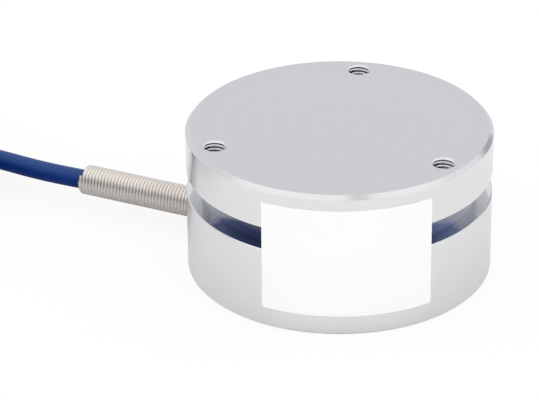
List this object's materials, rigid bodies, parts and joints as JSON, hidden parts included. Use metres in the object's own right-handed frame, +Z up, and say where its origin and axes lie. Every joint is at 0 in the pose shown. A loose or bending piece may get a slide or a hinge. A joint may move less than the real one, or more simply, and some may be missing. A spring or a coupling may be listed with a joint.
{
  "type": "weighing load cell",
  "caption": "Disc-shaped weighing load cell: turned steel body with a waist groove, tapped flange holes, spring-guarded cable and a plain front label.",
  "frame": {"origin": "middle of the foot ring's underside, on the surface that the cell stands on", "axes": "+Z up through the load plate along the body's axis; the cable leaves along -X; +Y completes the right-handed frame"},
  "size_m": [0.2257, 0.11, 0.0393],
  "materials": {
    "body_steel": "bright turned and polished, fine tool lines",
    "cover_steel": "satin sheet",
    "bright_steel": "bright plated",
    "spring_steel": "drawn spring wire, slightly warm",
    "gasket_rubber": "matte",
    "cable_blue": "smooth extruded jacket, semi-matte",
    "board_laminate": "solder-masked laminate",
    "brass_parts": "turned",
    "resistor_body": "glazed chip",
    "gauge_foil": "amber carrier film",
    "wire_enamel": "enamelled wire",
    "wire_red": "insulated core",
    "wire_black": "insulated core",
    "wire_green": "insulated core",
    "wire_white": "insulated core",
    "tinned_copper": "tinned strands",
    "tie_nylon": "moulded nylon",
    "label_film": "plain white matt film"
  },
  "bodies": {
    "root": {"sensing_body": "body_steel", "bottom_cover": "cover_steel", "cover_gasket": "gasket_rubber", "cover_screws": "bright_steel", "terminal_board": "board_laminate", "board_standoffs": "brass_parts", "board_screws": "bright_steel", "trim_resistors": "resistor_body", "strain_gauge_1": "gauge_foil", "strain_gauge_2": "gauge_foil", "strain_gauge_3": "gauge_foil", "strain_gauge_4": "gauge_foil", "gauge_wires": "wire_enamel", "core_red": "wire_red", "core_black": "wire_black", "core_green": "wire_green", "core_white": "wire_white", "drain_wire": "tinned_copper", "crimp_sleeve": "brass_parts", "cable_seal": "gasket_rubber", "cable_entry": "cable_blue", "spring_guard": "spring_steel", "cable_run": "cable_blue", "cable_coil": "cable_blue", "coil_tie": "tie_nylon", "cable_tail": "cable_blue", "lead_red": "wire_red", "lead_black": "wire_black", "lead_green": "wire_green", "lead_white": "wire_white", "lead_shield": "tinned_copper", "front_label": "label_film"}
  },
  "joints": []
}
